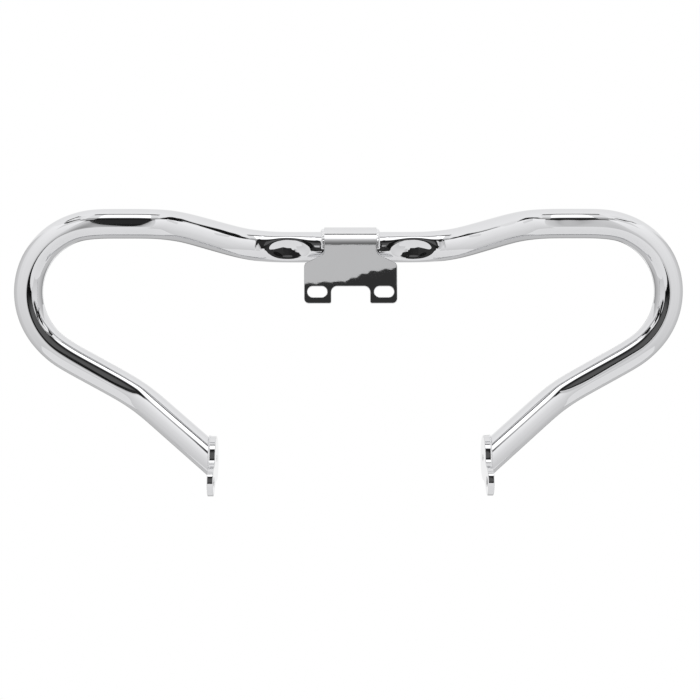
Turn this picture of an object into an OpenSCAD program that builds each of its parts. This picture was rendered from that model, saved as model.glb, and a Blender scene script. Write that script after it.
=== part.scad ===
// Front crash bars for a motorcycle: one bent tube with two loops, a folded
// middle bracket and a two-lobed flange on the end of each leg, all welded.
//
// X runs along the width, -Y is the front and Z is up. The origin is the centre
// of the bracket's two slots, on the rear face that bolts to the frame.

/* [Guard tube] */
// Outside diameter of the tube
tube_od = 31.75; // [25:0.05:40]
// Wall thickness of the tube
tube_wall = 2.4; // [1.5:0.1:4]
// Centre-line radius of every bend
bend_r = 76.2; // [60:0.1:90]
// How much thinner the tube is drawn in its bends, off the radius
bend_draw = 0.1; // [0.05:0.05:0.5]
// Length of the straight in the middle, between the first two bends
centre_len = 148; // [130:1:180]
// Angle of the two opposite bends that lift each side behind the middle
kick_bend = 35; // [20:0.5:45]
// Rise of the plane of those two bends over the horizontal
kick_rise = 31; // [10:0.5:50]
// Straight between those two bends
kick_len = 66; // [40:1:100]
// Straight along the top, before the loop
top_len = 56; // [30:1:100]
// Angle of the large loop bend
loop_bend = 150.5; // [130:0.5:165]
// Turn of the tube about its own line before the loop bend
loop_turn = 71.5; // [55:0.5:85]
// Straight below the loop
shin_len = 73; // [40:1:100]
// Angle of the last bend
knee_bend = 26.5; // [10:0.5:40]
// Turn of the tube about its own line before the last bend
knee_turn = 256.5; // [240:0.5:275]

/* [Pressed dents] */
// Distance between the middles of the two dents
dent_spacing = 131; // [120:1:150]
// Length of a dent along the tube
dent_len = 45; // [30:1:50]
// Depth of a dent below the crown of the tube
dent_depth = 6.5; // [2:0.5:8]
// Radius of the press tool across the tube
dent_tool_r = 25; // [8:0.5:30]
// How far the dents face below the front
dent_tilt = 24; // [0:1:40]

/* [Centre bracket] */
// Thickness of the folded sheet
sheet = 4.75; // [3:0.05:6]
// Width of the saddle over the tube, and of the neck below it
saddle_w = 54; // [40:1:70]
// How far the saddle wraps round the tube from its front
saddle_wrap = 135; // [100:5:160]
// Width of the flat plate
plate_w = 95; // [90:1:120]
// Height of the tube's middle over the slots
slot_drop = 48.5; // [42:0.5:70]
// Length of the straight neck below the middle of the tube
neck_len = 9.5; // [6:0.5:14]
// Drop of the sloping shoulder from the neck to the full width
shoulder_drop = 10; // [6:0.5:14]
// Plate left below the middle of the slots
plate_below = 12; // [10:0.5:20]
// Radius of the plate's outer corners
plate_corner_r = 5; // [1:0.5:6]
// Radius of the inner corners of the tabs
tab_corner_r = 2; // [0.5:0.5:3]
// Distance between the middles of the slots
slot_spacing = 68; // [64:1:72]
// Length of a slot, end to end
slot_len = 20; // [14:0.5:22]
// Width of a slot
slot_w = 11; // [8:0.5:12]
// Width of the notch between the tabs
notch_w = 39.5; // [30:0.5:44]
// Height of the top of the notch over the middle of the slots
notch_rise = 5.5; // [0:0.5:12]
// Radius of the notch's upper corners
notch_r = 6; // [2:0.5:10]

/* [Flanges] */
// Distance between the inner faces of the two flanges
mount_span = 284; // [270:1:310]
// Thickness of a flange
flange_t = 6.35; // [4:0.05:10]
// Radius of the lobe that carries the tube
boss_r = 24; // [23:0.5:30]
// Radius of the lobe that carries the bolt
ear_r = 14.5; // [11:0.5:18]
// Distance from the middle of the tube's end to the bolt
ear_reach = 44; // [41:0.5:60]
// How far the bolt lies below the horizontal, seen from the side
ear_drop = 34; // [0:1:50]
// Radius of the waist between the lobes on the front side
waist_front_r = 14; // [8:1:40]
// Radius of the waist between the lobes on the lower side
waist_rear_r = 40; // [20:1:80]
// Diameter of the bolt hole
bolt_d = 10.5; // [6:0.5:13]
// Diameter of the vent hole inside the tube
vent_d = 7; // [3:0.5:10]

/* [Welds] */
// Leg of the beads along the saddle
saddle_bead = 3.5; // [2:0.5:4.5]
// How far the saddle beads run below the middle of the tube, in degrees
bead_past = 14; // [0:1:20]
// Leg of the bead round each tube end
flange_bead = 3.5; // [2:0.5:5]

/* [Hidden] */
$fn = 96;

tube_r = tube_od / 2;
bore_r = tube_r - tube_wall;
tube_y = tube_r;
flange_in = mount_span / 2;
flange_out = flange_in + flange_t;
// How far the cut that ends the legs reaches round the end of each
cut = 2 * tube_od;
// How far a bend reaches into the straights beside it
bend_lap = 0.4;
lap_angle = bend_lap / bend_r * 180 / PI;
// The corner between the plate and the saddle stays square
fold_corner_r = 0.01;
corner_steps = 8;
bead_steps = 48;
// Height of a bead's crown over its corner, as a share of its leg
bead_crown = 0.62;
chrome = [0.80, 0.80, 0.82];

// Frames along the tube: its own line is the local X, and it bends towards the local Y.
function feed(d) = [[1, 0, 0, d], [0, 1, 0, 0], [0, 0, 1, 0], [0, 0, 0, 1]];
function turn(a) = [[1, 0, 0, 0], [0, cos(a), -sin(a), 0], [0, sin(a), cos(a), 0], [0, 0, 0, 1]];
function bend(a) = [
    [cos(a), -sin(a), 0, bend_r * sin(a)],
    [sin(a), cos(a), 0, bend_r * (1 - cos(a))],
    [0, 0, 1, 0],
    [0, 0, 0, 1],
];

// The frame at the start of the last straight, in the part's own frame
leg_start = [[1, 0, 0, 0], [0, 1, 0, tube_y], [0, 0, 1, slot_drop], [0, 0, 0, 1]]
    * feed(centre_len / 2) * turn(kick_rise) * bend(kick_bend)
    * feed(kick_len) * turn(180) * bend(kick_bend)
    * feed(top_len) * turn(loop_turn) * bend(loop_bend)
    * feed(shin_len) * turn(knee_turn) * bend(knee_bend);
leg_dir = [for (i = [0:2]) leg_start[i][0]];
leg_pos = [for (i = [0:2]) leg_start[i][3]];
// Length of the last straight, up to the outer face of the flange
leg_len = (flange_out - leg_pos[0]) / leg_dir[0];
leg_end = leg_pos + leg_len * leg_dir;
// What the slanted cut needs beyond that length
leg_spare = tube_r * norm([leg_dir[1], leg_dir[2]]) / abs(leg_dir[0]) + 1;

// The bolt of a flange, from the middle of the tube's end, in Y and Z
ear = ear_reach * [-cos(ear_drop), -sin(ear_drop)];

// The meeting point of two circles, on the side given by side
function circles_meet(a, ra, b, rb, side) =
    let (d = norm(b - a), u = (b - a) / d,
         along = (d * d + ra * ra - rb * rb) / (2 * d),
         across = sqrt(ra * ra - along * along))
    a + along * u + side * across * [-u[1], u[0]];

function angle_of(v) = atan2(v[1], v[0]);

// Points of an arc about c from angle a0 to a1, the way the sign of the turn says
function arc(c, r, a0, a1, steps = corner_steps) =
    [for (i = [0:steps]) c + r * [cos(a0 + (a1 - a0) * i / steps), sin(a0 + (a1 - a0) * i / steps)]];

// An angle raised by whole turns until it is over a
function above(x, a) = x > a ? x : above(x + 360, a);

// The rounded corner at p of a path from before to after
function corner(before, p, after, r) =
    let (u = (before - p) / norm(before - p), v = (after - p) / norm(after - p),
         half = acos(u * v) / 2,
         c = p + (u + v) / norm(u + v) * r / sin(half),
         a0 = angle_of(p + u * r / tan(half) - c),
         a1 = angle_of(p + v * r / tan(half) - c),
         swing = a1 - a0 > 180 ? a1 - a0 - 360 : a1 - a0 < -180 ? a1 - a0 + 360 : a1 - a0)
    arc(c, r, a0, a0 + swing);

// A closed outline with its own radius at each corner
function rounded(points, radii) =
    let (n = len(points))
    [for (i = [0:n - 1]) each corner(points[(i + n - 1) % n], points[i], points[(i + 1) % n], radii[i])];

// Moves its children along the tube, step by step
module along(steps, i = 0) {
    if (i == len(steps)) children();
    else if (steps[i][0] == "feed") translate([steps[i][1], 0, 0]) along(steps, i + 1) children();
    else if (steps[i][0] == "turn") rotate([steps[i][1], 0, 0]) along(steps, i + 1) children();
    else translate([0, bend_r, 0]) rotate([0, 0, steps[i][1]]) translate([0, -bend_r, 0])
        along(steps, i + 1) children();
}

module straight(r, length) rotate([0, 90, 0]) cylinder(r = r, h = length);

// A bend is drawn slightly thinner than the straights, and reaches a little way into them
module curve(r, angle)
    translate([0, bend_r, 0]) rotate([0, 0, -90 - lap_angle])
        rotate_extrude(angle = angle + 2 * lap_angle) translate([bend_r, 0]) circle(r = r - bend_draw);

// One side of the tube as a solid rod, from the middle to past the flange
module half_rod(r) {
    to_kick = [["feed", centre_len / 2], ["turn", kick_rise]];
    to_slope = concat(to_kick, [["bend", kick_bend]]);
    to_level = concat(to_slope, [["feed", kick_len], ["turn", 180]]);
    to_top = concat(to_level, [["bend", kick_bend]]);
    to_loop = concat(to_top, [["feed", top_len], ["turn", loop_turn]]);
    to_shin = concat(to_loop, [["bend", loop_bend]]);
    to_knee = concat(to_shin, [["feed", shin_len], ["turn", knee_turn]]);
    to_leg = concat(to_knee, [["bend", knee_bend]]);
    along(to_kick) curve(r, kick_bend);
    along(to_slope) straight(r, kick_len);
    along(to_level) curve(r, kick_bend);
    along(to_top) straight(r, top_len);
    along(to_loop) curve(r, loop_bend);
    along(to_shin) straight(r, shin_len);
    along(to_knee) curve(r, knee_bend);
    along(to_leg) straight(r, leg_len + leg_spare);
}

// The whole bent rod of a given radius
module rod(r) translate([0, tube_y, slot_drop]) {
    translate([-centre_len / 2, 0, 0]) straight(r, centre_len);
    half_rod(r);
    mirror([1, 0, 0]) half_rod(r);
}

// The crowned press tool of one dent, grown by a wall
module dent_tool(grow = 0) {
    half = dent_len / 2;
    // the tool's side meets the crown of the tube at both ends of the dent
    crown_r = (half * half + dent_depth * dent_depth) / (2 * dent_depth);
    axis = tube_r - dent_depth + dent_tool_r;
    translate([0, tube_y, slot_drop]) rotate([dent_tilt, 0, 0])
        translate([dent_spacing / 2, -axis, 0]) rotate([0, 90, 0])
            rotate_extrude()
                intersection() {
                    translate([dent_tool_r - crown_r, 0]) circle(r = crown_r + grow);
                    translate([0, -dent_len]) square([dent_len, 2 * dent_len]);
                }
}

module dents(grow = 0) {
    dent_tool(grow);
    mirror([1, 0, 0]) dent_tool(grow);
}

module guard_tube()
    color(chrome)
        difference() {
            rod(tube_r);
            difference() {
                rod(bore_r);
                dents(tube_wall);
            }
            dents();
            // the legs end on the outer faces of the flanges
            translate([-flange_out, leg_end[1] - cut, leg_end[2] - cut]) cube([2 * flange_out, 2 * cut, 2 * cut]);
        }

// The flat plate's outline, seen from the front
module plate_outline() {
    top = slot_drop;
    neck = saddle_w / 2;
    side = plate_w / 2;
    notch = notch_w / 2;
    shoulder = top - neck_len;
    right = [
        [neck, top], [neck, shoulder], [side, shoulder - shoulder_drop], [side, -plate_below],
        [notch, -plate_below], [notch, notch_rise],
    ];
    radii = [fold_corner_r, plate_corner_r, plate_corner_r, plate_corner_r, tab_corner_r, notch_r];
    left = [for (i = [len(right) - 1:-1:0]) [-right[i][0], right[i][1]]];
    left_radii = [for (i = [len(radii) - 1:-1:0]) radii[i]];
    difference() {
        polygon(rounded(concat(right, left), concat(radii, left_radii)));
        for (x = [-slot_spacing / 2, slot_spacing / 2]) translate([x, 0]) slot();
    }
}

module slot() {
    run = slot_len - slot_w;
    square([run, slot_w], center = true);
    for (x = [-run / 2, run / 2]) translate([x, 0]) circle(d = slot_w);
}

module centre_bracket()
    color(chrome) {
        rotate([90, 0, 0]) linear_extrude(sheet) plate_outline();
        // the saddle, folded from the top of the plate over the tube
        translate([-saddle_w / 2, tube_y, slot_drop]) rotate([0, 90, 0])
            rotate_extrude(angle = saddle_wrap, start = -90 - saddle_wrap)
                translate([tube_r, 0]) square([sheet, saddle_w]);
    }

// The flange's outline in Y and Z about the middle of the tube's end
module flange_outline() {
    top_c = circles_meet([0, 0], boss_r + waist_front_r, ear, ear_r + waist_front_r, -1);
    low_c = circles_meet([0, 0], boss_r + waist_rear_r, ear, ear_r + waist_rear_r, 1);
    boss_from = angle_of(low_c);
    boss_to = above(angle_of(top_c), boss_from);
    ear_from = angle_of(top_c - ear);
    ear_to = above(angle_of(low_c - ear), ear_from);
    polygon(concat(
        arc([0, 0], boss_r, boss_from, boss_to, 4 * corner_steps),
        arc(top_c, waist_front_r, angle_of(-top_c) + 360, angle_of(ear - top_c) + 360),
        arc(ear, ear_r, ear_from, ear_to, 4 * corner_steps),
        arc(low_c, waist_rear_r, angle_of(ear - low_c), angle_of(-low_c))
    ));
}

module flange()
    translate([flange_in, leg_end[1], leg_end[2]]) rotate([90, 0, 90])
        linear_extrude(flange_t)
            difference() {
                flange_outline();
                translate(ear) circle(d = bolt_d);
                circle(d = vent_d);
            }

module right_flange() color(chrome) flange();

module left_flange() color(chrome) mirror([1, 0, 0]) flange();

// A bead in the corner between the tube and the saddle's side
module saddle_weld()
    translate([saddle_w / 2, tube_y, slot_drop]) rotate([0, 90, 0])
        rotate_extrude(angle = saddle_wrap + bead_past, start = -90 - saddle_wrap)
            translate([tube_r, 0])
                intersection() {
                    square(saddle_bead);
                    circle(r = saddle_bead);
                }

module right_saddle_bead() color(chrome) saddle_weld();

module left_saddle_bead() color(chrome) mirror([1, 0, 0]) saddle_weld();

// The bead round the tube's slanted end, on the outer face of the flange: a ring of
// small sections, each with a foot on the tube, a foot on the flange and a crown.
module flange_weld() {
    // each chord of the ring touches the tube from outside
    ring_r = tube_r / cos(180 / bead_steps);
    sections = [
        for (i = [0:bead_steps - 1])
            let (a = 360 * i / bead_steps,
                 out = [for (k = [0:2]) cos(a) * leg_start[k][1] + sin(a) * leg_start[k][2]],
                 root = leg_end + ring_r * (out - out[0] / leg_dir[0] * leg_dir),
                 flat = [0, out[1], out[2]] / norm([out[1], out[2]]),
                 up = -flange_bead * leg_dir,
                 side = flange_bead * flat)
            [root, root + side, root + bead_crown * (up + side), root + up]
    ];
    sides = len(sections[0]);
    polyhedron(
        points = [for (s = sections) each s],
        faces = [
            for (i = [0:bead_steps - 1], k = [0:sides - 1])
                let (a = i * sides, b = (i + 1) % bead_steps * sides, m = (k + 1) % sides)
                [a + k, a + m, b + m, b + k]
        ]
    );
}

module right_flange_bead() color(chrome) flange_weld();

module left_flange_bead() color(chrome) mirror([1, 0, 0]) flange_weld();

guard_tube();
centre_bracket();
left_flange();
right_flange();
left_saddle_bead();
right_saddle_bead();
left_flange_bead();
right_flange_bead();
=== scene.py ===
# %% [markdown]
# # A chromed crash bar for a motorcycle
#
# The object is one steel tube, bent into two loops, with a folded bracket in the middle
# and a flange on the end of each leg. Everything is welded, polished and chromed. Chrome
# has next to no colour of its own: what the eye reads as its shape is the room that it
# reflects. So this lesson has two halves. The first builds a small white studio with a
# few dark cards, and the second builds true, smooth surfaces for it to play on.
#
# Lengths are in millimetres in the cells, and turned into metres where a mesh is made.

import bisect
import math

import bmesh
import bpy
from mathutils import Matrix, Vector, noise


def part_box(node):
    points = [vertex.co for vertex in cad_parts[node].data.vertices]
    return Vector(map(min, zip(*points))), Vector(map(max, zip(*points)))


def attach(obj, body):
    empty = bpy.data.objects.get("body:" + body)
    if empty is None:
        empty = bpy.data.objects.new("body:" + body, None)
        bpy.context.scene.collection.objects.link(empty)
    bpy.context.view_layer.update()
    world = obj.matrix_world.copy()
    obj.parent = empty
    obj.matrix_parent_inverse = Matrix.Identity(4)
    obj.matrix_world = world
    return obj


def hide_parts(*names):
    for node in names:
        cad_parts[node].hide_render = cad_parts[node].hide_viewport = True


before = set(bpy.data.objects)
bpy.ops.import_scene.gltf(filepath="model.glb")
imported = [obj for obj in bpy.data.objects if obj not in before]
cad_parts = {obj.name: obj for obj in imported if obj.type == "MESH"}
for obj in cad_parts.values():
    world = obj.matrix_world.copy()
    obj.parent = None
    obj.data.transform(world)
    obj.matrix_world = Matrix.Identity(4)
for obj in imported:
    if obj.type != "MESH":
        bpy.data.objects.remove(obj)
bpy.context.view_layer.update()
MM = 0.001
print("CAD nodes:", sorted(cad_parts))

# %% [markdown]
# ## The camera
#
# The picture is taken from almost straight in front, with a long lens, and from a little
# below the bar. The camera could be placed by trial, but four facts fix it: how far it is
# from the middle of the tube, how far it looks up, how far it is turned to the side, and
# where the middle of the tube lies in the picture. The tube's known diameter gives the
# scale, and the way it thins towards the legs gives the distance.

# %% Camera
PICTURE_PX = 700
TUBE_R = 15.875
SLOT_DROP = 48.5
tube_middle = Vector((0, TUBE_R, SLOT_DROP))
camera_distance = 1450
focal_px = 0.967 * camera_distance
look_up = math.radians(4)
look_aside = math.radians(-0.8)
camera_roll = math.radians(0.1)
middle_right_px = 0.5
middle_above_px = 102.75

level_depth = Vector((0, math.cos(look_up), math.sin(look_up)))
up = Vector((0, -math.sin(look_up), math.cos(look_up)))
right = Vector((math.cos(look_aside), 0, 0)) + math.sin(look_aside) * level_depth
forward = Vector((-math.sin(look_aside), 0, 0)) + math.cos(look_aside) * level_depth
px_mm = camera_distance / focal_px
picture_middle = tube_middle - middle_above_px * px_mm * up - middle_right_px * px_mm * right
camera_place = picture_middle - camera_distance * forward
rolled_right = math.cos(camera_roll) * right - math.sin(camera_roll) * up
rolled_up = math.sin(camera_roll) * right + math.cos(camera_roll) * up

SENSOR_MM = 36
FARTHEST_M = 50
camera_data = bpy.data.cameras.new("camera")
camera_data.sensor_width = SENSOR_MM
camera_data.lens = SENSOR_MM * focal_px / PICTURE_PX
camera_data.clip_end = FARTHEST_M
camera = bpy.data.objects.new("camera", camera_data)
axes = Matrix((rolled_right, rolled_up, -forward)).transposed().to_4x4()
camera.matrix_world = Matrix.Translation(camera_place * MM) @ axes
bpy.context.scene.collection.objects.link(camera)
bpy.context.scene.camera = camera
print("Camera at", [round(c) for c in camera_place], "mm, lens", round(camera_data.lens, 1), "mm")

# %% [markdown]
# ## The studio
#
# A chromed tube shows the whole room in a strip a few millimetres wide, so the room is
# designed like a drawing. The world is plain white to the camera and to reflections.
# Then come a floor, walls and a few cards: a bright softbox, which draws the white line
# along every tube, and a dark opening in front, which draws the black bands that make
# the metal look polished. Only reflections see the walls and the cards.


# %% World
def new_nodes(tree):
    """An empty node tree and a short way to add a node to it."""
    tree.nodes.clear()

    def add(kind, **inputs):
        node = tree.nodes.new(kind)
        for name, value in inputs.items():
            node.inputs[name.replace("_", " ")].default_value = value
        return node

    return add


ROOM_LIGHT = 1.0
world = bpy.data.worlds.new("white_room")
world.use_nodes = True
add = new_nodes(world.node_tree)
link = world.node_tree.links.new
path = add("ShaderNodeLightPath")
seen_a = add("ShaderNodeMath")
seen_a.operation = "MAXIMUM"
seen_b = add("ShaderNodeMath")
seen_b.operation = "MAXIMUM"
room = add("ShaderNodeBackground", Color=(1, 1, 1, 1), Strength=ROOM_LIGHT)
seen = add("ShaderNodeBackground", Color=(1, 1, 1, 1), Strength=1.0)
blend = add("ShaderNodeMixShader")
out = add("ShaderNodeOutputWorld")
link(path.outputs["Is Camera Ray"], seen_a.inputs[0])
link(path.outputs["Is Glossy Ray"], seen_a.inputs[1])
link(seen_a.outputs[0], seen_b.inputs[0])
link(path.outputs["Is Transmission Ray"], seen_b.inputs[1])
link(seen_b.outputs[0], blend.inputs[0])
link(room.outputs[0], blend.inputs[1])
link(seen.outputs[0], blend.inputs[2])
link(blend.outputs[0], out.inputs["Surface"])
bpy.context.scene.world = world
bpy.context.scene.view_settings.view_transform = "Standard"
print("World: white to the camera and to reflections, light", ROOM_LIGHT)

# %% [markdown]
# ## The floor
#
# A photographer stands a product on a roll of pale paper. A flat floor does the same
# here, well below the bar. Under the bar it is matt and pale and takes a soft shadow.
# Further out it fades into a plain white glow, so no view shows an edge or a horizon.

# %% Floor
FLOOR_Z = -620
FLOOR_HALF = 9000
FLOOR_TONE = 0.94
SHADOW_NEAR = 500
SHADOW_FAR = 1100


def floor_material():
    """Pale and lit under the bar, so that it takes a shadow, and plain white further out."""
    material = bpy.data.materials.new("pale_floor")
    material.use_nodes = True
    add = new_nodes(material.node_tree)
    link = material.node_tree.links.new
    place = add("ShaderNodeNewGeometry")
    distance = add("ShaderNodeVectorMath")
    distance.operation = "LENGTH"
    fade = add("ShaderNodeMapRange")
    fade.inputs["From Min"].default_value = SHADOW_NEAR * MM
    fade.inputs["From Max"].default_value = SHADOW_FAR * MM
    matt = add("ShaderNodeBsdfDiffuse", Color=(FLOOR_TONE, FLOOR_TONE, FLOOR_TONE, 1))
    white = add("ShaderNodeEmission", Color=(1, 1, 1, 1), Strength=1.0)
    blend = add("ShaderNodeMixShader")
    out = add("ShaderNodeOutputMaterial")
    link(place.outputs["Position"], distance.inputs[0])
    link(distance.outputs["Value"], fade.inputs["Value"])
    link(fade.outputs["Result"], blend.inputs[0])
    link(matt.outputs[0], blend.inputs[1])
    link(white.outputs[0], blend.inputs[2])
    link(blend.outputs[0], out.inputs["Surface"])
    return material


def add_object(name, vertices, faces, material):
    """A mesh object from points in millimetres."""
    mesh = bpy.data.meshes.new(name)
    mesh.from_pydata([Vector(v) * MM for v in vertices], [], faces)
    mesh.materials.append(material)
    obj = bpy.data.objects.new(name, mesh)
    bpy.context.scene.collection.objects.link(obj)
    return obj


corners = [(-1, -1), (1, -1), (1, 1), (-1, 1)]
floor_points = [(x * FLOOR_HALF, y * FLOOR_HALF, FLOOR_Z) for x, y in corners]
floor = add_object("floor", floor_points, [(0, 1, 2, 3)], floor_material())
print("Floor", FLOOR_Z, "mm below the slots' level")

# %% [markdown]
# ## Panels that only reflections see
#
# Round a chromed object a photographer hangs sheets of card until the bands on the metal
# look right. Each card here is a strip of faces like a ladder. Every rung has its own
# level of light, so a card can fade along its length. The level is stored on the mesh,
# and one material serves all the cards. They light nothing and cast no shadow.


# %% A card like a ladder
def glow():
    """A plain emitter whose strength is stored on the points of its mesh."""
    material = bpy.data.materials.new("studio_panel")
    material.use_nodes = True
    add = new_nodes(material.node_tree)
    level = add("ShaderNodeAttribute")
    level.attribute_name = "level"
    light = add("ShaderNodeEmission", Color=(1, 1, 1, 1))
    out = add("ShaderNodeOutputMaterial")
    material.node_tree.links.new(level.outputs["Fac"], light.inputs["Strength"])
    material.node_tree.links.new(light.outputs[0], out.inputs["Surface"])
    return material


panel_glow = glow()


def panel(name, rungs):
    """A panel like a ladder. Each rung has two ends and a level of light, or one for each end."""
    points = [end for rung in rungs for end in rung[:2]]
    faces = [(2 * k, 2 * k + 1, 2 * k + 3, 2 * k + 2) for k in range(len(rungs) - 1)]
    obj = add_object(name, points, faces, panel_glow)
    levels = obj.data.attributes.new("level", "FLOAT", "POINT")
    levels.data.foreach_set("value", [level for rung in rungs for level in (rung[2], rung[-1])])
    obj.visible_camera = False
    obj.visible_diffuse = False
    obj.visible_shadow = False


def both_sides(name, rungs):
    """A panel on the right and its mirror image on the left."""
    panel(f"{name}_right", rungs)
    mirror_rungs = [((-a[0], *a[1:]), (-b[0], *b[1:]), *levels) for a, b, *levels in rungs]
    panel(f"{name}_left", mirror_rungs)


# %% [markdown]
# ## The dark opening in front
#
# The black bands on the loops are the dark side of the room, where the camera stands. So
# a wide dark opening is set in front of the bar. Its middle is a little lighter, since a
# real room is never quite black. A glow card closes the opening at each end. The slant
# of its top and foot decides where a band starts and how it tapers, and the two cards
# differ because the two loops in the photograph do.

# %% The dark opening
FRONT_Y = -650
OPEN_HALF = 480
SILL_Z = -320
OPEN_TOP = 560


def across(half, y, z, level):
    """A rung that runs straight across, as far to the left as to the right."""
    return ((-half, y, z), (half, y, z), level)


def upright(x, y, foot, top, *levels):
    """A rung that stands straight up."""
    return ((x, y, foot), (x, y, top), *levels)


front_rows = [(SILL_Z, 0.005), (-200, 0.01), (0, 0.03), (300, 0.03), (450, 0.015), (OPEN_TOP, 0.01)]
panel("dark_opening", [across(OPEN_HALF, FRONT_Y, z, level) for z, level in front_rows])
CORE_HALF = 240
CARD_Y = FRONT_Y + 5
core_rows = [(-250, 0.01), (-150, 0.12), (180, 0.12), (360, 0.04)]
panel("grey_core", [across(CORE_HALF, CARD_Y, z, level) for z, level in core_rows])
print("The opening is", 2 * OPEN_HALF, "mm wide and", OPEN_TOP - SILL_Z, "mm high")

# %% The glow cards at its two ends
CARD_FOOT = -400
left_posts = [
    (-OPEN_HALF, 380, 0.9, 0.85),
    (-440, 330, 0.85, 0.8),
    (-415, 200, 0.8, 0.6),
    (-395, 20, 0.7, 0.45),
    (-370, -200, 0.6, 0.3),
    (-345, CARD_FOOT, 0.6, 0.6),
]
right_posts = [
    (310, 400, 0.95, 0.95),
    (335, 400, 0.9, 0.9),
    (375, 270, 0.7, 0.55),
    (410, 320, 0.75, 0.75),
    (OPEN_HALF, 380, 0.9, 0.9),
]
for name, posts in (("left_glow", left_posts), ("right_glow", right_posts)):
    panel(name, [upright(x, CARD_Y, CARD_FOOT, top, low, high) for x, top, low, high in posts])
both_sides("loop_card", [upright(350, -45, 205, 300, 1.0), upright(395, -10, 205, 300, 1.0)])
both_sides("lens_card", [upright(365, -140, 190, 280, 0.9), upright(470, -140, 190, 280, 0.9)])
print("Glow cards:", len(left_posts), "posts on the left,", len(right_posts), "on the right")

# %% [markdown]
# ## The softbox and the dark gaps round it
#
# The white line along every tube is a large softbox, which leans over the bar from the
# front. Behind it lies the ceiling. What draws the shape is the dark gap between the two:
# it turns into the thin black line along the S of the tube and the black lens on top of
# each loop. The gaps fade to grey at their inner ends, which only the legs see. They are
# wider on the left than on the right, as the lenses are.

# %% Softbox and gaps
BOX_HALF = 440
BOX_BACK_Y = -400
BOX_BACK_Z = 1050
panel(
    "softbox",
    [
        across(BOX_HALF, FRONT_Y, OPEN_TOP, 0.05),
        across(BOX_HALF, -635, 600, 0.5),
        across(BOX_HALF, -600, 670, 1.7),
        across(BOX_HALF, BOX_BACK_Y, BOX_BACK_Z, 1.9),
    ],
)
CEILING_Z = 1120
GAP_BACK_Y = -270
GAP_HALF = 520
behind = [(BOX_BACK_Y, BOX_BACK_Z), (GAP_BACK_Y, CEILING_Z)]
panel("gap_behind_box", [across(GAP_HALF, y, z, 0.1) for y, z in behind])
panel(
    "gap_left_of_box",
    [
        upright(-BOX_HALF, FRONT_Y, 420, 660, 0.5),
        upright(-540, -600, 480, 700, 0.5),
        upright(-590, -540, 500, 780, 0.01),
        upright(-640, -480, 520, 880, 0.01),
        upright(-675, -270, 560, 1060, 0.01),
        upright(-695, -215, 640, 1040, 0.01),
        upright(-715, -150, 740, 1100, 0.02),
        upright(-720, -120, 740, 1100, 0.9),
    ],
)
panel(
    "gap_right_of_box",
    [
        upright(BOX_HALF, FRONT_Y, 420, 660, 0.5),
        upright(540, -600, 480, 700, 0.5),
        upright(590, -540, 540, 730, 0.01),
        upright(640, -480, 600, 760, 0.01),
        upright(675, -270, 585, 860, 0.02),
        upright(695, -215, 540, 680, 0.3),
        upright(715, -150, 560, 640, 0.9),
    ],
)
print("The gap behind the softbox is", GAP_BACK_Y - BOX_BACK_Y, "mm deep")

# %% Ceiling and side walls
ROOM_HALF = 1500
# The ceiling glows, its light painted a little dimmer towards the back.
ceiling_rows = [(GAP_BACK_Y, 1.1), (1500, 0.95)]
panel("ceiling", [across(ROOM_HALF, y, CEILING_Z, level) for y, level in ceiling_rows])
both_sides(
    "ceiling_side",
    [
        ((GAP_HALF, -600, 640), (GAP_HALF, GAP_BACK_Y, CEILING_Z), 1.1),
        ((760, -540, 700), (760, GAP_BACK_Y, CEILING_Z), 1.1),
        ((1300, -250, 900), (1300, -200, CEILING_Z), 1.0),
    ],
)
# The side walls glow, their light painted brighter towards the top than at the floor.
both_sides(
    "side_wall",
    [
        upright(OPEN_HALF, FRONT_Y, FLOOR_Z, 420, 0.8, 1.2),
        upright(700, -560, FLOOR_Z, 700, 0.8, 1.25),
        upright(900, -250, FLOOR_Z, 760, 0.8, 1.2),
        upright(950, 100, FLOOR_Z, 800, 0.8, 1.1),
    ],
)
print("The ceiling is", CEILING_Z, "mm above the slots")

# %% [markdown]
# ## The small cards near the bracket
#
# The flat plate is a plane mirror and shows only a small part of the room, so a card must
# hang near it to have an edge there. A grey card with a ragged lower edge gives the plate
# its two tones, and the rags pass for the wobble of polished sheet. The dark shade below
# it also fills the dents. They are hollow mirrors and show the room turned round, so the
# left dent looks towards the right. The round saddle gets a card of its own, which
# brightens as it rises.

# %% Plate cards
NEAR_Y = -120
NEAR_HALF = 52
NEAR_SHOULDER = 46
NECK_HALF = 30
PLATE_TONE = 0.67
SHADE_TONE = 0.04
SHADE_FOOT = -40
SHADE_SLOPE = 0.4
near_edge = [
    (-NEAR_HALF, 21),
    (-44, 22.5),
    (-36, 21.5),
    (-28, 24),
    (-20, 23),
    (-12, 24.5),
    (-4, 24),
    (2, 28),
    (8, 28.5),
    (14, 33),
    (20, 33),
    (24, 36),
    (32, 35.5),
    (40, 38.5),
    (46, 37.5),
    (NEAR_HALF, 40),
]
panel("plate_card", [upright(x, NEAR_Y, z, NEAR_SHOULDER, PLATE_TONE) for x, z in near_edge])
neck_rows = [(NEAR_HALF, NEAR_SHOULDER), (NECK_HALF, 57), (NECK_HALF, 65)]
panel("neck_card", [across(half, NEAR_Y, z, PLATE_TONE) for half, z in neck_rows])


def shade_foot(x):
    """The lower edge of the shade, which drops towards both ends."""
    return SHADE_FOOT - SHADE_SLOPE * abs(x)


panel("plate_shade", [upright(x, NEAR_Y, shade_foot(x), z, SHADE_TONE) for x, z in near_edge])
print("The plate's two tones part", near_edge[0][1], "to", near_edge[-1][1], "mm above the slots")

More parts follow.
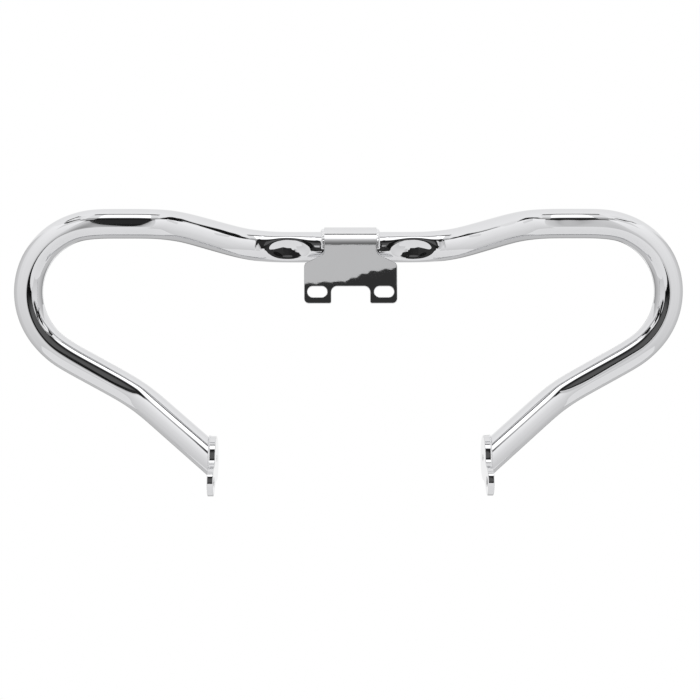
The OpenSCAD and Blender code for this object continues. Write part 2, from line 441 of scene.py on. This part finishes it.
# %% Cards for the dents and the saddle
FLAG_X = 56
FLAG_BACK_Y = -25
both_sides("black_flag", [upright(FLAG_X, y, 24, 80, 0.01) for y in (NEAR_Y, FLAG_BACK_Y)])
DENT_CARD_TOP = 20
dent_posts = [(NEAR_HALF, -60, 0.03), (72, -48, 0.03), (98, -48, 0.02), (104, -10, 0.02), (140, -5, 0.02)]
dent_rungs = [upright(x, NEAR_Y, foot, DENT_CARD_TOP, level) for x, foot, level in dent_posts]
both_sides("dent_card", dent_rungs)
SADDLE_CARD_HALF = 32
saddle_rows = [(66, 0.15), (90, 0.26), (107, 0.4), (123, 0.55), (142, 0.75), (165, 1.2)]
panel("saddle_card", [across(SADDLE_CARD_HALF, NEAR_Y, z, level) for z, level in saddle_rows])
print("Saddle card: levels", saddle_rows[0][1], "to", saddle_rows[-1][1])

# %% [markdown]
# ## Behind the bar
# The underside of a tube looks down and back. Without walls there it would all be white,
# and the tube would melt into the page. Glowing walls and a glowing table top give each
# tube a soft, slightly darker lower half. The walls' light is painted darker towards the
# back, and the table's glow is darker in a strip along its near edge and a little dimmer
# further out.

# %% Back walls and table
# The back walls glow, with painted shade that darkens them towards the back.
both_sides(
    "back_wall",
    [
        upright(950, 100, FLOOR_Z, 600, 0.8, 0.85),
        upright(1000, 700, FLOOR_Z, 500, 0.65),
        upright(1000, 1500, FLOOR_Z, 400, 0.5),
        upright(300, 1500, FLOOR_Z, 300, 0.3),
    ],
)
TABLE_HALF = 1200
TABLE_Z = -610
TABLE_EDGE_Y = 352
# The table top glows, darker in a strip along its near edge and a little dimmer further out.
panel("table_back", [across(TABLE_HALF, y, TABLE_Z, 0.35) for y in (330, TABLE_EDGE_Y)])
far_rows = [(TABLE_EDGE_Y, 0.7), (1600, 0.6)]
panel("table_far", [across(TABLE_HALF, y, TABLE_Z, level) for y, level in far_rows])

# %% [markdown]
# ## Chrome
#
# Chrome is a metal shader with a light, almost neutral colour and very little roughness.
# Left perfectly smooth it looks like a drawing of chrome. The real plate lies over
# hand-polished steel, and three small faults give it life: a slow waviness left by the
# belt, which makes the edges of reflections wander, a fine grain, and a faint haze that
# comes and goes. The first two are noise as bump, and the haze is noise as roughness. On
# the sheet the grain is stretched along X, the way it was polished. A weld can't be
# polished in its ripples, so its chrome is rougher and reads as a pale, broken band.


# %% Chrome material
MIST_MM = 28
DULL = 0.97


def chrome(name, tint, haze, wave, grain, grain_run=1.0):
    """Chrome with waves and grain, each a height and a size in mm. The grain may run along X."""
    material = bpy.data.materials.new(name)
    material.use_nodes = True
    tree = material.node_tree
    add = new_nodes(tree)
    place = add("ShaderNodeTexCoord")
    metal = add("ShaderNodeBsdfPrincipled", Metallic=1.0)
    out = add("ShaderNodeOutputMaterial")
    tree.links.new(metal.outputs["BSDF"], out.inputs["Surface"])

    mist = add("ShaderNodeTexNoise", Scale=1 / (MIST_MM * MM), Detail=4.0, Roughness=0.6)
    rough = add("ShaderNodeMapRange")
    rough.inputs["To Min"].default_value = haze[0]
    rough.inputs["To Max"].default_value = haze[1]
    tone = add("ShaderNodeMix")
    tone.data_type = "RGBA"
    tone.inputs["A"].default_value = (*[c * DULL for c in tint], 1)
    tone.inputs["B"].default_value = (*tint, 1)
    tree.links.new(place.outputs["Object"], mist.inputs["Vector"])
    tree.links.new(mist.outputs["Fac"], rough.inputs["Value"])
    tree.links.new(mist.outputs["Fac"], tone.inputs["Factor"])
    tree.links.new(rough.outputs["Result"], metal.inputs["Roughness"])
    tree.links.new(tone.outputs["Result"], metal.inputs["Base Color"])

    belt = add("ShaderNodeTexNoise", Scale=1 / (wave[1] * MM), Detail=1.5, Roughness=0.4)
    bump = add("ShaderNodeBump", Strength=1.0, Distance=wave[0] * MM)
    stretch = add("ShaderNodeMapping", Scale=(1 / grain_run, 1, 1))
    fine = add("ShaderNodeTexNoise", Scale=1 / (grain[1] * MM), Detail=3.0, Roughness=0.6)
    fine_bump = add("ShaderNodeBump", Strength=1.0, Distance=grain[0] * MM)
    tree.links.new(place.outputs["Object"], belt.inputs["Vector"])
    tree.links.new(belt.outputs["Fac"], bump.inputs["Height"])
    tree.links.new(place.outputs["Object"], stretch.inputs["Vector"])
    tree.links.new(stretch.outputs["Vector"], fine.inputs["Vector"])
    tree.links.new(fine.outputs["Fac"], fine_bump.inputs["Height"])
    tree.links.new(bump.outputs["Normal"], fine_bump.inputs["Normal"])
    tree.links.new(fine_bump.outputs["Normal"], metal.inputs["Normal"])
    return material


tube_chrome = chrome(
    "chromed_tube", tint=(0.72, 0.722, 0.735), haze=(0.015, 0.05), wave=(0.02, 35), grain=(0.001, 3)
)
sheet_chrome = chrome(
    "chromed_sheet",
    tint=(0.72, 0.722, 0.732),
    haze=(0.02, 0.06),
    wave=(0.04, 22),
    grain=(0.007, 2),
    grain_run=6.0,
)
weld_chrome = chrome(
    "chromed_weld", tint=(0.8, 0.802, 0.812), haze=(0.2, 0.34), wave=(0.05, 4), grain=(0.02, 0.8)
)
print("Materials:", [m.name for m in (tube_chrome, sheet_chrome, weld_chrome)])

# %% [markdown]
# ## The line of the tube
#
# A tube bender knows only three moves: feed the tube, turn it about its own line, and
# bend it round the former. The same three moves describe the path here, so each is a
# small matrix, and the path is their product. Every station along it gets a middle point,
# the tube's direction, and the direction in which the bend curves. The stations stand
# closer together near the middle, where the dents need more points.

# %% The bender's moves
BEND_R = 76.2
bender = [
    ("feed", 74),
    ("turn", 31),
    ("bend", 35),
    ("feed", 66),
    ("turn", 180),
    ("bend", 35),
    ("feed", 56),
    ("turn", 71.5),
    ("bend", 150.5),
    ("feed", 73),
    ("turn", 256.5),
    ("bend", 26.5),
]


def feed(length):
    return Matrix.Translation((length, 0, 0))


def turn(angle):
    return Matrix.Rotation(math.radians(angle), 4, "X")


def bend(angle):
    former = Matrix.Translation((0, BEND_R, 0))
    return former @ Matrix.Rotation(math.radians(angle), 4, "Z") @ former.inverted()


MOVES = {"feed": feed, "turn": turn, "bend": bend}
here = Matrix.Translation(tube_middle)
for kind, amount in bender:
    here = here @ MOVES[kind](amount)
leg_start = here
leg_dir = leg_start.col[0].to_3d()
MOUNT_SPAN = 284
FLANGE_T = 6.35
flange_in = MOUNT_SPAN / 2
flange_out = flange_in + FLANGE_T
leg_len = (flange_out - leg_start.translation.x) / leg_dir.x
leg_end = leg_start.translation + leg_len * leg_dir
print("The right leg ends at", [round(c, 1) for c in leg_end], "mm after", round(leg_len, 1), "mm")

# %% Stations along one half
STATION = 2.4
FINE_STATION = 0.9
DENT_SPACING = 131
DENT_LEN = 45
FLAT_RAMP = 30
STOP_SHORT = 1.05 * TUBE_R


def stations():
    """Middle, direction, inward side and flattening (0 to 1) of each station on the right half."""
    found = []
    here = Matrix.Translation(tube_middle)
    fine_until = DENT_SPACING / 2 + DENT_LEN
    last = ("feed", leg_len - STOP_SHORT)
    for kind, amount in [*bender, last]:
        if kind == "turn":
            here = here @ turn(amount)
            continue
        length = amount if kind == "feed" else math.radians(amount) * BEND_R
        step = FINE_STATION if here.translation.x < fine_until else STATION
        count = math.ceil(length / step)
        for i in range(count):
            at = here @ MOVES[kind](amount * i / count)
            edge = min(i, count - i) / count * length
            share = min(1, edge / FLAT_RAMP) if kind == "bend" else 0
            flat = share * share * (3 - 2 * share)
            found.append((at.translation.copy(), at.col[0].to_3d(), at.col[1].to_3d(), flat))
        here = here @ MOVES[kind](amount)
    found.append((here.translation.copy(), here.col[0].to_3d(), here.col[1].to_3d(), 0.0))
    return found


# %% [markdown]
# ## Soft starts to the bends
#
# A former has a sharp start, but steel doesn't: it begins to curve a little before the
# former and goes on a little after it. A line of straights and plain arcs would show a
# kink in every reflection where the two meet. So each middle point is moved to the mean
# of its neighbours within 14 mm, twice over, which moves it by a millimetre at most.

# %% Ease the bends in and out
EASE = 14
EASE_STEPS = 6


def eased(line):
    """The line with every bend eased in and out, the way steel runs into a bend."""
    middles = [middle for middle, *_ in line]
    for _ in range(2):
        run = [0.0]
        for a, b in zip(middles, middles[1:]):
            run.append(run[-1] + (b - a).length)
        smooth = []
        for at in run:
            reach = min(EASE, at, run[-1] - at)
            near = []
            for k in range(-EASE_STEPS, EASE_STEPS + 1):
                where = at + reach * k / EASE_STEPS
                i = min(max(bisect.bisect_right(run, where), 1), len(run) - 1)
                share = (where - run[i - 1]) / (run[i] - run[i - 1])
                near.append(middles[i - 1].lerp(middles[i], share))
            smooth.append(sum(near, Vector()) / len(near))
        middles = smooth
    ahead = [(b - a).normalized() for a, b in zip(middles, middles[2:])]
    ahead = [line[0][1], *ahead, line[-1][1]]
    return [(m, d, inward, flat) for m, d, (_, _, inward, flat) in zip(middles, ahead, line)]


exact_line = stations()
half_line = eased(exact_line)
shift = max((a[0] - b[0]).length for a, b in zip(exact_line, half_line))
print("Stations on one half:", len(half_line), "moved by at most", round(shift, 2), "mm")

# %% [markdown]
# ## The tube
#
# A skin could be made with a curve and a round bevel, but a real bent tube isn't a
# perfect pipe: it is drawn a little flat in every bend, and this one has two dents
# pressed into its front, where tools and bolts need room. So the skin is swept in code.
# Rings of points are carried along without twist, each ring is squeezed where the tube
# bends, and the points that meet the press tool are pushed in front of it.

# %% Carry a ring along the line
AROUND = 96
BORE_R = 13.475
FLATTENED = 0.04
SWELLED = 0.02


def carried_sides(line):
    """A side direction for each station, carried along the line without twist."""
    sides = []
    side = Vector((0, -1, 0))
    for _, direction, _, _ in line:
        side = (side - side.dot(direction) * direction).normalized()
        sides.append(side)
    return sides


def ring(station, side, radius, around):
    """The points of one cross-section, squeezed towards the inside of the bend."""
    middle, direction, inward, flat = station
    other = direction.cross(side)
    axle = direction.cross(inward)
    points = []
    for i in range(around):
        angle = 2 * math.pi * i / around
        out = math.cos(angle) * side + math.sin(angle) * other
        out = out - FLATTENED * flat * out.dot(inward) * inward + SWELLED * flat * out.dot(axle) * axle
        points.append(middle + radius * out)
    return points


def slanted_end(station, side, radius, around, steps=4):
    """Rings that run from the last station to the slanted cut on the flange."""
    start = ring(station, side, radius, around)
    rings = []
    for k in range(1, steps + 1):
        rings.append([p + k / steps * (flange_out - p.x) / leg_dir.x * leg_dir for p in start])
    return rings


half_sides = carried_sides(half_line)
right_rings = [ring(s, side, TUBE_R, AROUND) for s, side in zip(half_line, half_sides)]
right_rings += slanted_end(half_line[-1], half_sides[-1], TUBE_R, AROUND)
print("Rings on one half:", len(right_rings), "of", AROUND, "points")

# %% [markdown]
# ## The dents
#
# Each dent is made on the real tube by a rounded tool under a press. The mesh is pressed
# the same way: a crowned roller is put at its final place, and every point that would be
# inside it is pushed out, away from the roller's line. The push fades out instead of
# stopping at once, which rounds the lip. The bore is pressed by a roller that is larger
# by the wall, so the wall keeps its thickness.

# %% Press the dents
DENT_DEPTH = 6.5
DENT_TOOL_R = 25
DENT_TILT = math.radians(20)
DENT_LIP = 1.6
LIP_REACH = 8 * DENT_LIP
tool_drop = TUBE_R - DENT_DEPTH + DENT_TOOL_R
tool_y = TUBE_R - tool_drop * math.cos(DENT_TILT)
tool_z = SLOT_DROP - tool_drop * math.sin(DENT_TILT)
half_dent = DENT_LEN / 2
crown_r = (half_dent**2 + DENT_DEPTH**2) / (2 * DENT_DEPTH)


def pressed(point, wall=0.0):
    """The point after the crowned tool has come to rest on the tube, or on a wall in front of it."""
    along = point.x - DENT_SPACING / 2
    reach = crown_r + wall
    if abs(along) >= reach:
        return point
    away = Vector((0, point.y - tool_y, point.z - tool_z))
    tool_r = DENT_TOOL_R - crown_r + math.sqrt(reach**2 - along**2)
    deep = tool_r - away.length
    if deep < -LIP_REACH:
        return point
    push = (deep + math.sqrt(deep**2 + 4 * DENT_LIP**2)) / 2
    return point + push * away.normalized()


right_rings = [[pressed(p) for p in points] for points in right_rings]
deepest = max((p - s[0]).length for points, s in zip(right_rings, half_line) for p in points)
shallow = min((p - s[0]).length for points, s in zip(right_rings, half_line) for p in points)
print("Tube radius from", round(shallow, 2), "in the dent to", round(deepest, 2), "mm")

# %% [markdown]
# ## One closed wall
#
# The tube is hollow. Its inside can only be seen through the vent holes, but a real wall
# has two sides, so the bore is made as well. It follows the same line with fewer rings,
# and a ring of faces at each end joins it to the skin. That closes the steel all round.


# %% Join the skin, the bore and the ends
def mirrored(points):
    return [Vector((-p.x, p.y, p.z)) for p in points]


def whole(rings):
    """The rings of both halves, from the left end to the right end."""
    left = [mirrored(points) for points in reversed(rings[1:])]
    return left + rings


def tube_faces(first, count, around, inside_out):
    """Quads between neighbouring rings, whose points start at first."""
    faces = []
    for r in range(count - 1):
        for i in range(around):
            a = first + r * around + i
            b = first + r * around + (i + 1) % around
            quad = (a, b, b + around, a + around)
            faces.append(quad[::-1] if inside_out else quad)
    return faces


BORE_EVERY = 4
skin = whole(right_rings)
bore_line = half_line[:-1:BORE_EVERY] + [half_line[-1]]
bore_sides = half_sides[:-1:BORE_EVERY] + [half_sides[-1]]
bore_half = [ring(s, side, BORE_R, AROUND) for s, side in zip(bore_line, bore_sides)]
bore_half += slanted_end(bore_line[-1], bore_sides[-1], BORE_R, AROUND, 1)
wall = TUBE_R - BORE_R
bore = whole([[pressed(p, wall) for p in points] for points in bore_half])
points = [p for r in skin for p in r] + [p for r in bore for p in r]
bore_first = len(skin) * AROUND
faces = tube_faces(0, len(skin), AROUND, True) + tube_faces(bore_first, len(bore), AROUND, False)
for outer, inner, flip in (
    (0, bore_first, False),
    ((len(skin) - 1) * AROUND, bore_first + (len(bore) - 1) * AROUND, True),
):
    for i in range(AROUND):
        j = (i + 1) % AROUND
        quad = (outer + i, outer + j, inner + j, inner + i)
        faces.append(quad[::-1] if flip else quad)
TUBE_SHARP = math.radians(40)
tube = add_object("bent_tube", points, faces, tube_chrome)
tube.data.shade_smooth()
tube.data.set_sharp_from_angle(angle=TUBE_SHARP)
print("Tube:", len(points), "points,", len(faces), "faces")


# %% Put the tube in its place
def fit(piece, node):
    """The piece stands for a CAD node and moves with the part."""
    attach(piece, "root")
    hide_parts(node)
    low, high = (Vector(c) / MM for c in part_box(node))
    own = [v.co / MM for v in piece.data.vertices]
    over = [
        max(low[k] - min(p[k] for p in own), max(p[k] for p in own) - high[k]) for k in range(3)
    ]
    print(piece.name, "stands for", node, "and passes its box by", [round(d, 2) for d in over], "mm")


fit(tube, "guard_tube")

# %% [markdown]
# ## The middle bracket
#
# The bracket is one piece of sheet. In the workshop it is cut flat, its edges are
# tumbled round, and then its upper part is folded over the tube as a saddle. The mesh is
# made in the same order, because that gives the fold clean rows of faces: a flat outline
# with its slots becomes a plate with round edges, the plate is cut into rows where it
# will bend, and the rows are rolled round the tube.


# %% Outlines with round corners
def corner(before, point, after, radius, steps=8):
    """The round corner at a point of an outline."""
    u = (before - point).normalized()
    v = (after - point).normalized()
    half = math.acos(max(-1, min(1, u.dot(v)))) / 2
    middle = point + (u + v).normalized() * radius / math.sin(half)
    start = point + u * radius / math.tan(half) - middle
    end = point + v * radius / math.tan(half) - middle
    swing = math.atan2(start.x * end.y - start.y * end.x, start.dot(end))
    turned = [Matrix.Rotation(swing * k / steps, 2) @ start for k in range(steps + 1)]
    return [middle + t for t in turned]


def rounded(points, radii):
    """A closed outline with its own radius at each corner."""
    outline = []
    for i, (point, radius) in enumerate(zip(points, radii)):
        after = points[(i + 1) % len(points)]
        if radius:
            outline += corner(points[i - 1], point, after, radius)
        else:
            outline.append(point)
    return outline


def circle(middle, radius, count=48):
    turns = [2 * math.pi * k / count for k in range(count)]
    return [middle + radius * Vector((math.cos(a), math.sin(a))) for a in turns]


def slot_outline(middle, length, width, count=24):
    """A straight slot with round ends, along X."""
    run = (length - width) / 2
    outline = []
    for side in (1, -1):
        for k in range(count + 1):
            a = math.pi * k / count - math.pi / 2
            end = Vector((run + width / 2 * math.cos(a), width / 2 * math.sin(a)))
            outline.append(middle + side * end)
    return outline


SLOT_LEN = 20
SLOT_W = 11
slot_points = slot_outline(Vector((0, 0)), SLOT_LEN, SLOT_W)
print("A slot of", SLOT_LEN, "by", SLOT_W, "mm has", len(slot_points), "points")

# %% A plate from outlines
SAME_POINT = 0.0005
NEARLY_FLAT = math.radians(0.5)


def plate_mesh(name, outlines, thickness, edge_r):
    """A flat plate in X and Y, with round edges, from an outer outline and its holes."""
    curve = bpy.data.curves.new(name, "CURVE")
    curve.dimensions = "2D"
    curve.fill_mode = "BOTH"
    curve.extrude = (thickness / 2 - edge_r) * MM
    curve.bevel_depth = edge_r * MM
    curve.bevel_resolution = 3
    curve.offset = -edge_r * MM
    for outline in outlines:
        spline = curve.splines.new("POLY")
        spline.points.add(len(outline) - 1)
        for place, point in zip(spline.points, outline):
            place.co = (point.x * MM, point.y * MM, 0, 1)
        spline.use_cyclic_u = True
    holder = bpy.data.objects.new(name, curve)
    bpy.context.scene.collection.objects.link(holder)
    bpy.context.view_layer.update()
    made = holder.evaluated_get(bpy.context.evaluated_depsgraph_get())
    mesh = bpy.data.meshes.new_from_object(made)
    bpy.data.objects.remove(holder)
    shape = bmesh.new()
    shape.from_mesh(mesh)
    bmesh.ops.remove_doubles(shape, verts=shape.verts, dist=SAME_POINT * MM)
    bmesh.ops.dissolve_limit(
        shape, angle_limit=NEARLY_FLAT, verts=shape.verts, edges=shape.edges, delimit={"NORMAL"}
    )
    return shape


# %% Cut the blank of the bracket
SHEET = 4.75
SHEET_EDGE_R = 0.6
SADDLE_W = 54
SADDLE_WRAP = 135
PLATE_W = 95
NECK_LEN = 9.5
SHOULDER_DROP = 10
PLATE_BELOW = 12
NOTCH_W = 39.5
NOTCH_RISE = 5.5
SLOT_SPACING = 68
fold_r = TUBE_R + SHEET / 2
saddle_run = math.radians(SADDLE_WRAP) * fold_r
top = SLOT_DROP + saddle_run
shoulder = SLOT_DROP - NECK_LEN
right_side = [
    ((SADDLE_W / 2, top), 1.5),
    ((SADDLE_W / 2, shoulder), 5),
    ((PLATE_W / 2, shoulder - SHOULDER_DROP), 5),
    ((PLATE_W / 2, -PLATE_BELOW), 5),
    ((NOTCH_W / 2, -PLATE_BELOW), 2),
    ((NOTCH_W / 2, NOTCH_RISE), 6),
]
blank = [Vector(p) for p, _ in right_side] + [Vector((-p[0], p[1])) for p, _ in reversed(right_side)]
radii = [r for _, r in right_side]
slots = [slot_outline(Vector((x * SLOT_SPACING / 2, 0)), SLOT_LEN, SLOT_W) for x in (-1, 1)]
outline = rounded(blank, radii + radii[::-1])
bracket_shape = plate_mesh("bracket", [outline, *slots], SHEET, SHEET_EDGE_R)
print("Blank:", round(top + PLATE_BELOW, 1), "mm long,", len(bracket_shape.faces), "faces")

# %% Roll the saddle round the tube
ROW = 0.8
rows = math.ceil(saddle_run / ROW)
for k in range(rows + 1):
    cut = SLOT_DROP + saddle_run * k / rows
    bmesh.ops.bisect_plane(
        bracket_shape,
        geom=[*bracket_shape.verts, *bracket_shape.edges, *bracket_shape.faces],
        plane_co=(0, cut * MM, 0),
        plane_no=(0, 1, 0),
    )


def folded(flat):
    """Where a point of the flat blank lies once the saddle is rolled up."""
    x, along, depth = (c / MM for c in flat)
    y = -SHEET / 2 - depth
    past = along - SLOT_DROP
    if past <= 0:
        return Vector((x, y, along)) * MM
    angle = past / fold_r
    radius = TUBE_R - y
    return Vector((x, TUBE_R - radius * math.cos(angle), SLOT_DROP + radius * math.sin(angle))) * MM


for v in bracket_shape.verts:
    v.co = folded(v.co)


FLAT_FACE_WEIGHT = 100


def finished_piece(name, shape, material):
    """A piece from a bmesh, smooth, with the large flat faces setting the shading."""
    bmesh.ops.recalc_face_normals(shape, faces=shape.faces)
    mesh = bpy.data.meshes.new(name)
    shape.to_mesh(mesh)
    shape.free()
    mesh.materials.clear()
    mesh.materials.append(material)
    mesh.shade_smooth()
    obj = bpy.data.objects.new(name, mesh)
    bpy.context.scene.collection.objects.link(obj)
    even = obj.modifiers.new("flat_faces_first", "WEIGHTED_NORMAL")
    even.weight = FLAT_FACE_WEIGHT
    return obj


bracket = finished_piece("folded_bracket", bracket_shape, sheet_chrome)
fit(bracket, "centre_bracket")

# %% [markdown]
# ## The flanges
#
# Each leg ends on a small plate with two lobes. One carries the tube and has a vent hole
# in its middle, because a closed tube would burst or trap acid in the plating bath. The
# other carries the bolt. The outline is four arcs: the two lobes, and a waist on each
# side whose centre is found where two circles meet.

# %% Flange outline
BOSS_R = 24
EAR_R = 14.5
EAR_REACH = 44
EAR_DROP = math.radians(34)
WAIST_FRONT_R = 14
WAIST_REAR_R = 40
BOLT_D = 10.5
VENT_D = 7
ear = EAR_REACH * Vector((-math.cos(EAR_DROP), -math.sin(EAR_DROP)))
boss = Vector((0, 0))


def circles_meet(a, ra, b, rb, side):
    """Where two circles cross, on one side of the line between their middles."""
    gap = (b - a).length
    u = (b - a) / gap
    along = (gap**2 + ra**2 - rb**2) / (2 * gap)
    aside = math.sqrt(ra**2 - along**2)
    return a + along * u + side * aside * Vector((-u.y, u.x))


def arc(middle, start, end, swing_sign, steps=24):
    """An arc about a middle, from one point to another, the way the sign says."""
    from_middle = start - middle
    to_middle = end - middle
    cross = from_middle.x * to_middle.y - from_middle.y * to_middle.x
    swing = math.atan2(cross, from_middle.dot(to_middle))
    if swing * swing_sign < 0:
        swing += swing_sign * 2 * math.pi
    return [middle + Matrix.Rotation(swing * k / steps, 2) @ from_middle for k in range(steps)]


front_waist = circles_meet(boss, BOSS_R + WAIST_FRONT_R, ear, EAR_R + WAIST_FRONT_R, -1)
rear_waist = circles_meet(boss, BOSS_R + WAIST_REAR_R, ear, EAR_R + WAIST_REAR_R, 1)
boss_front = boss + BOSS_R * (front_waist - boss).normalized()
boss_rear = boss + BOSS_R * (rear_waist - boss).normalized()
ear_front = ear + EAR_R * (front_waist - ear).normalized()
ear_rear = ear + EAR_R * (rear_waist - ear).normalized()
flange_outline = (
    arc(boss, boss_rear, boss_front, 1, 48)
    + arc(front_waist, boss_front, ear_front, -1, 16)
    + arc(ear, ear_front, ear_rear, 1, 36)
    + arc(rear_waist, ear_rear, boss_rear, -1, 16)
)
print("Flange outline:", len(flange_outline), "points, bolt hole at", [round(c, 1) for c in ear], "mm")

# %% Make both flanges
SIDES = ((-1, "left"), (1, "right"))
FLANGE_EDGE_R = 0.7
holes = [circle(ear, BOLT_D / 2), circle(boss, VENT_D / 2, 32)]
for side, name in SIDES:
    shape = plate_mesh(name, [flange_outline, *holes], FLANGE_T, FLANGE_EDGE_R)
    for v in shape.verts:
        y, z, depth = v.co
        x = side * (flange_in + FLANGE_T / 2) * MM + depth
        v.co = Vector((x, y + leg_end.y * MM, z + leg_end.z * MM))
    flange = finished_piece(f"{name}_leg_flange", shape, sheet_chrome)
    fit(flange, f"{name}_flange")

# %% [markdown]
# ## The welds
#
# A weld laid by hand is a row of small overlapping puddles. Under chrome it stays
# visible as a bright, rippled bead. Each bead is swept along its seam in short steps:
# the section is a quarter of a disc, and its size rises and falls once per puddle, with
# a little chance in it so that no two puddles match.


# %% Sweep a bead
PUDDLE = 2.6
SMALLEST = 0.92
RIPPLE = 0.06
CHANCE = 0.10
CHANCE_PER_MM = 0.6
CROWN = 0.10
SUNK = 0.3
SECTION_STEPS = 10
WELD_SHARP = math.radians(50)


def bead(name, seam, leg, closed, seed):
    """A rippled bead. Each seam point has a root and the two directions of its legs."""
    rings = []
    travelled = 0.0
    last = seam[0][0]
    for root, first, second in seam:
        travelled += (root - last).length
        last = root
        puddle = 2 * math.pi * travelled / PUDDLE
        chance = noise.noise(Vector((travelled * CHANCE_PER_MM, seed, 0.0)))
        size = leg * (SMALLEST + RIPPLE * abs(math.sin(puddle / 2)) + CHANCE * chance)
        crown = leg * CROWN * (1 + chance)
        section = [root - SUNK * (first + second)]
        for k in range(SECTION_STEPS + 1):
            a = math.pi / 2 * k / SECTION_STEPS
            reach = size + crown * math.sin(2 * a)
            section.append(root + reach * (math.cos(a) * first + math.sin(a) * second))
        rings.append(section)
    around = len(rings[0])
    points = [p for section in rings for p in section]
    count = len(rings)
    faces = []
    for r in range(count if closed else count - 1):
        for i in range(around):
            a = r * around + i
            b = r * around + (i + 1) % around
            c = (r + 1) % count * around + (i + 1) % around
            d = (r + 1) % count * around + i
            faces.append((a, b, c, d))
    if not closed:
        faces.append(tuple(range(around))[::-1])
        faces.append(tuple(range((count - 1) * around, count * around)))
    piece = add_object(name, points, faces, weld_chrome)
    shape = bmesh.new()
    shape.from_mesh(piece.data)
    bmesh.ops.recalc_face_normals(shape, faces=shape.faces)
    shape.to_mesh(piece.data)
    shape.free()
    piece.data.shade_smooth()
    piece.data.set_sharp_from_angle(angle=WELD_SHARP)
    return piece


# %% The beads beside the saddle
SADDLE_BEAD = 3.2
SADDLE_SEED = 3.1
SADDLE_STEPS = 160
BEAD_PAST = 14
for side, name in SIDES:
    seam = []
    for k in range(SADDLE_STEPS + 1):
        angle = math.radians(-BEAD_PAST + (SADDLE_WRAP + BEAD_PAST) * k / SADDLE_STEPS)
        out = Vector((0, -math.cos(angle), math.sin(angle)))
        root = tube_middle + Vector((side * SADDLE_W / 2, 0, 0)) + TUBE_R * out
        seam.append((root, Vector((side, 0, 0)), out))
    weld = bead(f"{name}_saddle_weld", seam, SADDLE_BEAD, False, SADDLE_SEED * side)
    fit(weld, f"{name}_saddle_bead")

# %% The beads round the leg ends
FLANGE_BEAD = 3.0
FLANGE_SEED = 5.7
FLANGE_STEPS = 240
leg_side = leg_start.col[1].to_3d()
leg_other = leg_start.col[2].to_3d()
for side, name in SIDES:
    seam = []
    for k in range(FLANGE_STEPS):
        angle = 2 * math.pi * k / FLANGE_STEPS
        out = math.cos(angle) * leg_side + math.sin(angle) * leg_other
        root = leg_end + TUBE_R * (out - out.x / leg_dir.x * leg_dir)
        flat = Vector((0, out.y, out.z)).normalized()
        place, first, second = (Vector((side * p.x, p.y, p.z)) for p in (root, flat, -leg_dir))
        seam.append((place, first, second))
    weld = bead(f"{name}_flange_weld", seam, FLANGE_BEAD, True, FLANGE_SEED * side)
    fit(weld, f"{name}_flange_bead")
